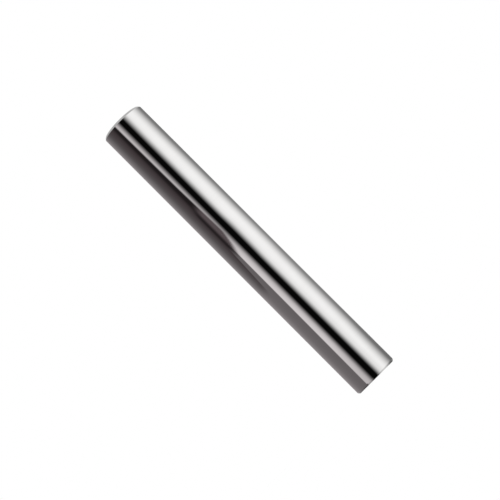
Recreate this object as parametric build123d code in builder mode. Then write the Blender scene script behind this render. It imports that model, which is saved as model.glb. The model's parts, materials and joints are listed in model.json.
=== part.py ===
"""Plain pin gauge: a hardened steel cylinder, ground and lapped to one exact diameter.

The pin is one piece of steel. It stands on one end, with its axis along Z and the
middle of its lower end face at the origin. The measuring surface is the straight
cylinder. Each end is ground flat and square to it, with a small chamfer so that the
pin starts easily in a hole, and lapping has rolled over the chamfer's two corners.
"""

import os

from build123d import *

# Driving dimensions, in millimetres
gauge_diameter = 6.858  # the size that the pin measures, 0.270 in
pin_length = 50.8  # end face to end face, 2 in
chamfer_size = 0.254  # 45 degree chamfer at each end, 0.010 in
rolled_edge_radius = 0.2  # left by lapping at both corners of each chamfer

gauge_radius = gauge_diameter / 2

with BuildPart() as gauge_pin:
    # Half section through the axis, turned into the blank
    with BuildSketch(Plane.XZ):
        Rectangle(gauge_radius, pin_length, align=(Align.MIN, Align.MIN))
    revolve(axis=Axis.Z)

    # Chamfer the two rims, then roll over the four corners that the chamfers leave
    chamfer(gauge_pin.edges().filter_by(GeomType.CIRCLE), length=chamfer_size)
    fillet(gauge_pin.edges().filter_by(GeomType.CIRCLE), radius=rolled_edge_radius)

gauge_pin.part.label = "gauge_pin"

os.makedirs("parts", exist_ok=True)
export_step(gauge_pin.part, "parts/gauge_pin.step")
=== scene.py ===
"""Pin gauge of polished steel, standing on a white table inside a small light tent.

Lengths are in metres, in the part's own frame: +Z up along the pin, with the origin at the
middle of its lower end. Directions around the pin are in degrees from the camera's side,
which is -Y, and grow towards +X. The tent's cards show only in reflections.
"""

import json
import math

import bpy
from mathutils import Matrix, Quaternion, Vector


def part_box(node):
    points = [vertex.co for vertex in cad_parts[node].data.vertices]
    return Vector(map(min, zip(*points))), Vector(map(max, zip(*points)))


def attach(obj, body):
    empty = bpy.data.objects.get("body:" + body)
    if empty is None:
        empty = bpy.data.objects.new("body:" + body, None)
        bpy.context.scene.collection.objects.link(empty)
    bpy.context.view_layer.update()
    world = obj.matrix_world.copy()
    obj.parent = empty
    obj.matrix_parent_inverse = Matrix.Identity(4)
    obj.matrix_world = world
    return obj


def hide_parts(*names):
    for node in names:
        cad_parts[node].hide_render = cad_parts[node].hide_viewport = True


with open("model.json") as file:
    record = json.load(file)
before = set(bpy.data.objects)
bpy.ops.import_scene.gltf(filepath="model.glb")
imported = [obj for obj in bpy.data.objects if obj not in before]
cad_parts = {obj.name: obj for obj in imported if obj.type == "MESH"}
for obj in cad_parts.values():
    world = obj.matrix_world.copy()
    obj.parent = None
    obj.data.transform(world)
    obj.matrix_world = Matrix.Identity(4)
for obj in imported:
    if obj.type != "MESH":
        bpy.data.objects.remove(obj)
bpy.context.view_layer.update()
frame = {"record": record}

# Sizes of the pin
mounts = {mount["name"]: mount for mount in frame["record"]["mounts"]}
millimetre = 0.001
pin_radius = mounts["gauge_body"]["dims"]["r_mm"] * millimetre
pin_low, pin_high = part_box("gauge_pin")
pin_length = pin_high.z - pin_low.z
chamfer_size = 0.000254
chamfer_angle = math.radians(45)
rolled_edge_radius = 0.0002

# Fineness of the pin's mesh
segments_around = 256
segments_per_rolled_edge = 6
rings_on_end_face = 6
rings_along_body = 24

# Steel. A pair goes from clean to dull, and marks are counted along X, Y and Z.
lapped_colours = ((0.676, 0.670, 0.666, 1.0), (0.641, 0.635, 0.631, 1.0))
ground_colours = ((0.520, 0.515, 0.512, 1.0), (0.410, 0.406, 0.404, 1.0))
body_roughness = (0.02, 0.045)
body_marks_per_mm = (0.15, 0.15, 25.0)
body_marks_depth = 2e-7
chamfer_roughness = (0.10, 0.16)
chamfer_marks_per_mm = (0.3, 0.3, 30.0)
chamfer_marks_depth = 4e-7
end_face_roughness = (0.20, 0.34)
end_face_marks_per_mm = (0.2, 3.5, 1.0)
end_face_marks_depth = 3e-6
film_patches_per_mm = 0.35
film_detail = 3.0
marks_detail = 4.0
fine_marks_share = 0.6
clean_below = 0.1
dull_above = 0.45

# Camera
camera_distance = 0.262
camera_height = 0.0
camera_roll = math.radians(-45)
camera_lens_mm = 135.0
camera_sensor_mm = 36.0
aim_side = 0.00007
aim_height = 0.0251
nearest_seen = 0.002
farthest_seen = 20.0

# Table and light
table_width = 8.0
table_gap = 0.00002
table_colour = (0.8, 0.8, 0.8, 1.0)
table_own_light = 0.2
room_light = 0.75
lamp_share = 0.25
lamp_softness = math.radians(40)
lamp_tilt = math.radians(35)
lamp_turn = math.radians(50)

# Light tent. Directions are in degrees, and a glow is how bright a card is beside plain white.
# A pair whose name ends in edge or full holds at the table and at the tent's top, and any other pair
# says where a change starts and ends. A longer row holds points of (height, value) or (direction, value).
half_turn = 180.0
tent_radius = 0.080
tent_height = 0.072
card_gap = 0.00001
columns_round_tent = 480
rows_up_tent = 108
neutral_tint = Vector((1.0, 1.0, 1.0))
warm_tint = Vector((1.0, 0.92, 0.95))
front_glow = 0.003
ceiling_glow = 0.65
ceiling_rim_glow = 0.6
ceiling_rim_lean = 0.2
ceiling_light_side = 90.0
ceiling_fade_start = 0.0665

# Ring of floor that the lower chamfer mirrors, and how bright it is beside the floor round it. Its inner
# part is darker, a painted contact shadow under the pin's edge
ring_inner_radius = 0.002
ring_edge_radius = 0.0033
ring_outer_radius = 0.0036
ring_painted_shadow_share = 0.68

# Back of the tent: the light strip where the walls meet, and the floor behind the pin
strip_glow = 1.0
strip_turn = (166.0, 178.0)
back_floor_glow = 0.75
back_floor_turn = (120.0, 180.0)

# Softbox on the right wall, and the light rim beyond it
softbox_glow = 1.33
softbox_near_edge = (7.9, 11.03)
softbox_near_full = (36.0, 46.9)
softbox_spill = (29.0, 60.0)
softbox_spill_share = 0.15
softbox_lean = (
    (0.0, 1.4), (0.012, 0.0), (0.0295, -1.8), (0.032, 0.2), (0.0365, 1.5), (0.0378, 1.3), (0.0402, -1.9),
    (0.0576, -1.4), (0.066, -0.2),
)
softbox_edge_lean_share = 0.4
softbox_fall = (64.0, 138.0)
softbox_fall_lean = (
    (0.0, -6.0), (0.005, -6.0), (0.011, 0.0), (0.027, 2.0), (0.031, 6.0), (0.046, 5.0), (0.060, 1.5),
)
softbox_far_glow = ((0.0, 0.20), (0.012, 0.27), (0.024, 0.31), (0.045, 0.28), (0.065, 0.25))
rim_turn = (150.0, 172.0)
rim_glow = (
    (0.0, 0.18), (0.006, 0.20), (0.020, 1.0), (0.030, 1.0), (0.042, 0.55), (0.055, 0.20), (0.065, 0.18),
)

# Pale bounce card on the left wall, and the dim part beyond it
bounce_glow = 0.92
bounce_tint = Vector((1.0, 0.95, 0.965))
bounce_near_edge = (-10.5, -5.2)
bounce_rise = 24.0
bounce_spill = (-20.0, -45.0)
bounce_spill_share = 0.3
bounce_far_edge = (-54.9, -46.94)
bounce_far_blur = 2.2
# Painted shade at the pale card's foot: it glows at this share at the table, and fully from this height up
bounce_foot_shade_share = 0.8
bounce_foot_shade_height = 0.012
shade_glow = ((-168, 0.40), (-130, 0.31), (-103, 0.225), (-80, 0.195), (-50, 0.18))

# Dark flag that hangs over the left wall, and a band along its lower edge at the corner that is painted as
# the flag's soft shadow, with its own tones
far_glow = ((-150, 0.36), (-130, 0.275), (-110, 0.195), (-95, 0.125), (-82, 0.09))
flag_glow = far_glow + ((-59, 0.052), (-52, 0.027), (-47, 0.017))
flag_edge = (
    (-90, 0.025), (-80, 0.0255), (-67, 0.034), (-55, 0.0334), (-47, 0.0338), (-37, 0.035), (-28, 0.037),
)
flag_edge_blur = 0.0016
flag_tint = Vector((1.18, 0.945, 1.01))
flag_tint_turn = (-100.0, -65.0)
flag_side = ((0.0385, -25.0), (0.0415, -27.0), (0.0495, -32.0), (0.063, -35.4), (0.076, -37.5))
flag_side_blur = 4.5
flag_shadow_glow = far_glow + (
    (-75, 0.07), (-68, 0.055), (-62, 0.026), (-57, 0.021), (-52, 0.041), (-47, 0.085), (-42, 0.115),
)
flag_shadow_height = 0.044
flag_shadow_height_blur = 0.0015


def mixed(low, high, share):
    """The value that lies at this share of the way from low to high."""
    return low + (high - low) * share


def eased(start, end, value):
    """0 up to start, 1 from end on, and a smooth ramp between them."""
    share = min(1.0, max(0.0, (value - start) / (end - start)))
    return share * share * (3 - 2 * share)


def along(points, place):
    """The value at a place on a line of (place, value) points, straight between them."""
    for (start, low), (end, high) in zip(points, points[1:]):
        if place <= end:
            return mixed(low, high, max(0.0, (place - start) / (end - start)))
    return points[-1][1]


# The pin's mesh
def lower_end_section():
    """The lower end's half section, from the axis out: (radius, height, angle of the normal, finish)."""
    inset = rolled_edge_radius * math.tan(chamfer_angle / 2)
    flat_radius = pin_radius - chamfer_size - inset
    body_start = chamfer_size * math.tan(chamfer_angle) + inset
    down = -math.pi / 2
    section = []
    for ring in range(rings_on_end_face):
        section.append((flat_radius * ring / rings_on_end_face, 0.0, down, "end_face"))
    for step in range(segments_per_rolled_edge + 1):
        angle = mixed(down, -chamfer_angle, step / segments_per_rolled_edge)
        radius = flat_radius + rolled_edge_radius * math.cos(angle)
        height = rolled_edge_radius * (1 + math.sin(angle))
        section.append((radius, height, angle, "chamfer"))
    for step in range(segments_per_rolled_edge + 1):
        angle = mixed(-chamfer_angle, 0.0, step / segments_per_rolled_edge)
        radius = pin_radius - rolled_edge_radius * (1 - math.cos(angle))
        height = body_start + rolled_edge_radius * math.sin(angle)
        section.append((radius, height, angle, "chamfer"))
    return section


def pin_section():
    """The whole half section, from the middle of the lower end to the middle of the upper one."""
    lower = lower_end_section()
    upper = []
    for radius, height, angle, finish in reversed(lower):
        upper.append((radius, pin_length - height, -angle, finish))
    body_start = lower[-1][1]
    body_end = upper[0][1]
    body = []
    for ring in range(1, rings_along_body):
        height = mixed(body_start, body_end, ring / rings_along_body)
        body.append((pin_radius, height, 0.0, "body"))
    return lower + body + upper


def finish_between(first, second):
    """The finish of the band between two points of the section that have these finishes."""
    for finish in ("body", "end_face"):
        if finish in (first, second):
            return finish
    return "chamfer"


def make_pin(materials):
    """The pin as one closed turned mesh, with the normals of the true section."""
    section = pin_section()
    vertices = []
    normals = []
    rings = []
    for radius, height, angle, _ in section:
        count = 1 if radius == 0 else segments_around
        rings.append([len(vertices) + step for step in range(count)])
        for step in range(count):
            turn = 2 * math.pi * step / segments_around
            outward = Vector((math.sin(turn), -math.cos(turn), 0.0))
            vertices.append(outward * radius + Vector((0.0, 0.0, height)))
            normals.append(outward * math.cos(angle) + Vector((0.0, 0.0, math.sin(angle))))
    finish_names = list(materials)
    faces = []
    finish_of_face = []
    for (*_, first), (*_, second), below, above in zip(section, section[1:], rings, rings[1:]):
        finish = finish_names.index(finish_between(first, second))
        for step in range(segments_around):
            after = (step + 1) % segments_around
            corners = [below[step % len(below)], below[after % len(below)]]
            corners += [above[after % len(above)], above[step % len(above)]]
            faces.append(list(dict.fromkeys(corners)))
            finish_of_face.append(finish)
    mesh = bpy.data.meshes.new("gauge_pin_polished")
    mesh.from_pydata(vertices, [], faces)
    for material in materials.values():
        mesh.materials.append(material)
    mesh.polygons.foreach_set("material_index", finish_of_face)
    mesh.shade_smooth()
    mesh.normals_split_custom_set_from_vertices(normals)
    mesh.validate()
    pin = bpy.data.objects.new("gauge_pin_polished", mesh)
    bpy.context.scene.collection.objects.link(pin)
    return pin


# Materials of the pin
def steel(name, colours, roughness, marks_per_mm, marks_depth):
    """Bare steel whose colour and gloss vary a little, with fine tool marks."""
    material = bpy.data.materials.new(name)
    material.use_nodes = True
    nodes = material.node_tree.nodes
    link = material.node_tree.links.new
    shader = nodes["Principled BSDF"]
    shader.inputs["Metallic"].default_value = 1.0

    place = nodes.new("ShaderNodeTexCoord")
    in_millimetres = nodes.new("ShaderNodeVectorMath")
    in_millimetres.operation = "SCALE"
    in_millimetres.inputs["Scale"].default_value = 1 / millimetre
    link(place.outputs["Object"], in_millimetres.inputs[0])

    # A thin, uneven film from handling, a few millimetres across
    film = nodes.new("ShaderNodeTexNoise")
    film.inputs["Scale"].default_value = film_patches_per_mm
    film.inputs["Detail"].default_value = film_detail
    link(in_millimetres.outputs["Vector"], film.inputs["Vector"])

    # Tool marks, drawn out along the way that the abrasive ran
    stretch = nodes.new("ShaderNodeMapping")
    stretch.inputs["Scale"].default_value = marks_per_mm
    link(in_millimetres.outputs["Vector"], stretch.inputs["Vector"])
    marks = nodes.new("ShaderNodeTexNoise")
    marks.inputs["Scale"].default_value = 1.0
    marks.inputs["Detail"].default_value = marks_detail
    marks.inputs["Roughness"].default_value = fine_marks_share
    link(stretch.outputs["Vector"], marks.inputs["Vector"])

    # Film and marks together set how dull a place is
    both = nodes.new("ShaderNodeMath")
    both.operation = "MULTIPLY"
    link(film.outputs["Fac"], both.inputs[0])
    link(marks.outputs["Fac"], both.inputs[1])
    dullness = nodes.new("ShaderNodeMapRange")
    dullness.inputs["From Min"].default_value = clean_below
    dullness.inputs["From Max"].default_value = dull_above
    link(both.outputs["Value"], dullness.inputs["Value"])

    tone = nodes.new("ShaderNodeMix")
    tone.data_type = "RGBA"
    tone.inputs["A"].default_value = colours[0]
    tone.inputs["B"].default_value = colours[1]
    link(dullness.outputs["Result"], tone.inputs["Factor"])
    link(tone.outputs["Result"], shader.inputs["Base Color"])

    gloss = nodes.new("ShaderNodeMapRange")
    gloss.inputs["To Min"].default_value = roughness[0]
    gloss.inputs["To Max"].default_value = roughness[1]
    link(dullness.outputs["Result"], gloss.inputs["Value"])
    link(gloss.outputs["Result"], shader.inputs["Roughness"])

    relief = nodes.new("ShaderNodeBump")
    relief.inputs["Strength"].default_value = 1.0
    relief.inputs["Distance"].default_value = marks_depth
    link(marks.outputs["Fac"], relief.inputs["Height"])
    link(relief.outputs["Normal"], shader.inputs["Normal"])
    return material


# Stage
def emitter(name):
    """The face of a card, which glows in the mesh's own colours."""
    material = bpy.data.materials.new(name)
    material.use_nodes = True
    tree = material.node_tree
    tree.nodes.clear()
    colour = tree.nodes.new("ShaderNodeAttribute")
    colour.attribute_name = "glow"
    emission = tree.nodes.new("ShaderNodeEmission")
    output = tree.nodes.new("ShaderNodeOutputMaterial")
    tree.links.new(colour.outputs["Color"], emission.inputs["Color"])
    tree.links.new(emission.outputs["Emission"], output.inputs["Surface"])
    material.cycles.emission_sampling = "NONE"
    return material


def stage_mesh(name, vertices, faces, material, colours=None):
    """A stage object. With a colour for each vertex, it is a card that shows only in reflections."""
    mesh = bpy.data.meshes.new(name)
    mesh.from_pydata(vertices, [], faces)
    mesh.materials.append(material)
    thing = bpy.data.objects.new(name, mesh)
    bpy.context.scene.collection.objects.link(thing)
    if colours is not None:
        glow = mesh.attributes.new("glow", "FLOAT_COLOR", "POINT")
        for entry, colour in zip(glow.data, colours):
            entry.color = (*colour, 1.0)
        thing.visible_camera = False
        thing.visible_diffuse = False
        thing.visible_shadow = False


def leaned(pair, height):
    """The value at a height, where pair holds the values at the table and at the tent's top."""
    return mixed(pair[0], pair[1], height / tent_height)


def right_colour(direction, height):
    """The softbox: black by the camera, brightest a third of the way round, and dimmer towards the back."""
    lean = along(softbox_lean, height)
    near_edge = leaned(softbox_near_edge, height) + lean * softbox_edge_lean_share
    main = eased(near_edge, leaned(softbox_near_full, height) + lean, direction)
    spill = eased(softbox_spill[0] + lean, softbox_spill[1] + lean, direction)
    fall_lean = along(softbox_fall_lean, height)
    fall = eased(softbox_fall[0] + fall_lean, softbox_fall[1] + fall_lean, direction)
    strength = mixed(softbox_glow, along(softbox_far_glow, height), fall)
    glow = mixed(main, spill, softbox_spill_share) * strength
    glow = mixed(glow, along(rim_glow, height), eased(rim_turn[0], rim_turn[1], direction))
    return neutral_tint * max(front_glow, glow)


def left_colour(direction, height):
    """A pale card next to the black by the camera, then a dim wall, and a dark flag over the top of both."""
    near_edge = leaned(bounce_near_edge, height)
    main = eased(near_edge, near_edge - bounce_rise, direction)
    spill = eased(bounce_spill[0], bounce_spill[1], direction)
    # Painted shade: the pale card grows dimmer towards the table
    foot_shade = mixed(bounce_foot_shade_share, 1.0, eased(0.0, bounce_foot_shade_height, height))
    pale = max(front_glow, bounce_glow * foot_shade * mixed(main, spill, bounce_spill_share))
    far_edge = leaned(bounce_far_edge, height)
    on_card = eased(far_edge - bounce_far_blur, far_edge + bounce_far_blur, direction)
    lit = (warm_tint * along(shade_glow, direction)).lerp(bounce_tint * pale, on_card)

    # Painted soft shadow of the flag: below this height the flag's lower band takes its own tones
    in_flag_shadow = eased(flag_shadow_height + flag_shadow_height_blur, flag_shadow_height - flag_shadow_height_blur, height)
    dark = mixed(along(flag_glow, direction), along(flag_shadow_glow, direction), in_flag_shadow)
    dark_tint = warm_tint.lerp(flag_tint, eased(flag_tint_turn[0], flag_tint_turn[1], direction))

    low = along(flag_edge, direction)
    above = eased(low - flag_edge_blur, low + flag_edge_blur, height)
    side = along(flag_side, height)
    beside = eased(side + flag_side_blur, side - flag_side_blur, direction)
    return lit.lerp(dark_tint * dark, above * beside)


def ceiling_colour(direction):
    """What the ceiling shows at its rim, lighter on the softbox's side."""
    lean = ceiling_rim_lean * math.cos(math.radians(direction - ceiling_light_side))
    return neutral_tint * (ceiling_rim_glow + lean)


def card_colour(direction, height):
    """What the wall shows at a place.

    Its two sides meet in almost black at the camera and in a light strip at the back, and fade into the
    ceiling at the top.
    """
    side = right_colour(direction, height) if direction > 0 else left_colour(direction, height)
    at_back = eased(strip_turn[0], strip_turn[1], abs(direction))
    at_top = eased(ceiling_fade_start, tent_height, height)
    return side.lerp(neutral_tint * strip_glow, at_back).lerp(ceiling_colour(direction), at_top)


def around(radius, direction, height):
    """The point at this distance from the pin's axis, this direction and this height."""
    turn = math.radians(direction)
    return (radius * math.sin(turn), -radius * math.cos(turn), height)


def make_sheet(name, material, columns, colours):
    """A card made of columns of points side by side, with a colour for each point."""
    rows = len(columns[0])
    vertices = [point for column in columns for point in column]
    faces = []
    for first in range(0, len(vertices) - rows, rows):
        for low in range(first, first + rows - 1):
            faces.append((low, low + rows, low + rows + 1, low + 1))
    stage_mesh(name, vertices, faces, material, colours)


def make_wall(material):
    """The card that lies on the table, from under the pin's edge outwards, and goes up all round it.

    In front, each column starts below the upright line in which the pin mirrors it to the camera, which is
    half as far round as the column. Towards the back the columns run straight out from the pin, and start
    light. Right under the lower chamfer they are darker, a painted contact shadow under the pin's edge.
    """
    ring_radii = (ring_inner_radius, ring_edge_radius, ring_outer_radius)
    columns = []
    colours = []
    for step in range(columns_round_tent + 1):
        direction = mixed(-half_turn, half_turn, step / columns_round_tent)
        at_back = eased(back_floor_turn[0], back_floor_turn[1], abs(direction))
        foot_direction = mixed(direction / 2, direction, at_back)
        foot_colour = card_colour(direction, 0.0).lerp(neutral_tint * back_floor_glow, at_back)
        column = [around(radius, foot_direction, -card_gap) for radius in ring_radii]
        # Painted contact shadow: the two inner points, under the lower chamfer, glow less
        colours += [foot_colour * ring_painted_shadow_share, foot_colour * ring_painted_shadow_share, foot_colour]
        for row in range(rows_up_tent + 1):
            height = mixed(-card_gap, tent_height, row / rows_up_tent)
            column.append(around(tent_radius, direction, height))
            colours.append(card_colour(direction, height))
        columns.append(column)
    make_sheet("tent_wall", material, columns, colours)


def make_ceiling(material):
    """A round card over the pin, as a fan of triangles, which grows lighter towards the softbox's side."""
    vertices = [(0.0, 0.0, tent_height)]
    colours = [neutral_tint * ceiling_glow]
    for step in range(columns_round_tent):
        direction = mixed(-half_turn, half_turn, step / columns_round_tent)
        vertices.append(around(tent_radius, direction, tent_height))
        colours.append(ceiling_colour(direction))
    faces = [(0, step + 1, (step + 1) % columns_round_tent + 1) for step in range(columns_round_tent)]
    stage_mesh("ceiling", vertices, faces, material, colours)


def make_tent():
    """The cards round the pin, which show only in its surface."""
    material = emitter("card")
    make_wall(material)
    make_ceiling(material)


def seen_directly(tree):
    """A value of 1 for what the camera sees, straight, mirrored or through glass, and 0 for other light."""
    path = tree.nodes.new("ShaderNodeLightPath")
    straight_or_mirrored = tree.nodes.new("ShaderNodeMath")
    straight_or_mirrored.operation = "MAXIMUM"
    tree.links.new(path.outputs["Is Camera Ray"], straight_or_mirrored.inputs[0])
    tree.links.new(path.outputs["Is Glossy Ray"], straight_or_mirrored.inputs[1])
    any_of_them = tree.nodes.new("ShaderNodeMath")
    any_of_them.operation = "MAXIMUM"
    tree.links.new(straight_or_mirrored.outputs["Value"], any_of_them.inputs[0])
    tree.links.new(path.outputs["Is Transmission Ray"], any_of_them.inputs[1])
    return any_of_them.outputs["Value"]


def make_table():
    """A white table that gives off what it lacks to plain white here, and keeps the pin's shadow."""
    material = bpy.data.materials.new("table_white")
    material.use_nodes = True
    tree = material.node_tree
    shader = tree.nodes["Principled BSDF"]
    shader.inputs["Base Color"].default_value = table_colour
    shader.inputs["Roughness"].default_value = 1.0
    shader.inputs["Specular IOR Level"].default_value = 0.0
    shader.inputs["Emission Color"].default_value = (*neutral_tint, 1.0)
    own_light = tree.nodes.new("ShaderNodeMath")
    own_light.operation = "MULTIPLY"
    own_light.inputs[1].default_value = table_own_light
    tree.links.new(seen_directly(tree), own_light.inputs[0])
    tree.links.new(own_light.outputs["Value"], shader.inputs["Emission Strength"])
    half = table_width / 2
    corners = [(-half, -half, -table_gap), (half, -half, -table_gap)]
    corners += [(half, half, -table_gap), (-half, half, -table_gap)]
    stage_mesh("table", corners, [(0, 1, 2, 3)], material)


def make_light():
    """White all round for the camera and for reflections, soft light for the table, and one wide lamp."""
    world = bpy.data.worlds.new("white_room")
    bpy.context.scene.world = world
    world.use_nodes = True
    tree = world.node_tree
    background = tree.nodes["Background"]
    background.inputs["Color"].default_value = (*neutral_tint, 1.0)
    strength = tree.nodes.new("ShaderNodeMapRange")
    strength.inputs["To Min"].default_value = room_light
    strength.inputs["To Max"].default_value = 1.0
    tree.links.new(seen_directly(tree), strength.inputs["Value"])
    tree.links.new(strength.outputs["Result"], background.inputs["Strength"])

    lamp_data = bpy.data.lights.new("wide_lamp", "SUN")
    lamp_data.energy = lamp_share * math.pi / math.cos(lamp_tilt)
    lamp_data.angle = lamp_softness
    lamp = bpy.data.objects.new("wide_lamp", lamp_data)
    lamp.rotation_euler = (lamp_tilt, 0.0, lamp_turn)
    lamp.visible_glossy = False
    bpy.context.scene.collection.objects.link(lamp)


def make_camera():
    """The camera, level with the pin's lower end and turned so that its upper end points up and left."""
    data = bpy.data.cameras.new("camera")
    data.sensor_width = camera_sensor_mm
    data.lens = camera_lens_mm
    data.clip_start = nearest_seen
    data.clip_end = farthest_seen
    camera = bpy.data.objects.new("camera", data)
    camera.location = (0.0, -camera_distance, camera_height)
    sight = Vector((aim_side, 0.0, aim_height)) - camera.location
    roll = Quaternion((0.0, 0.0, 1.0), camera_roll)
    camera.rotation_mode = "QUATERNION"
    camera.rotation_quaternion = sight.to_track_quat("-Z", "Y") @ roll
    bpy.context.scene.collection.objects.link(camera)
    bpy.context.scene.camera = camera


bpy.context.scene.view_settings.view_transform = "Standard"
make_camera()
make_light()
make_table()
make_tent()

finishes = {
    "body": steel(
        "lapped_steel", lapped_colours, body_roughness, body_marks_per_mm, body_marks_depth
    ),
    "chamfer": steel(
        "chamfer_steel", lapped_colours, chamfer_roughness, chamfer_marks_per_mm, chamfer_marks_depth
    ),
    "end_face": steel(
        "ground_steel", ground_colours, end_face_roughness, end_face_marks_per_mm, end_face_marks_depth
    ),
}
pin = make_pin(finishes)
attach(pin, "root")
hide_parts("gauge_pin")
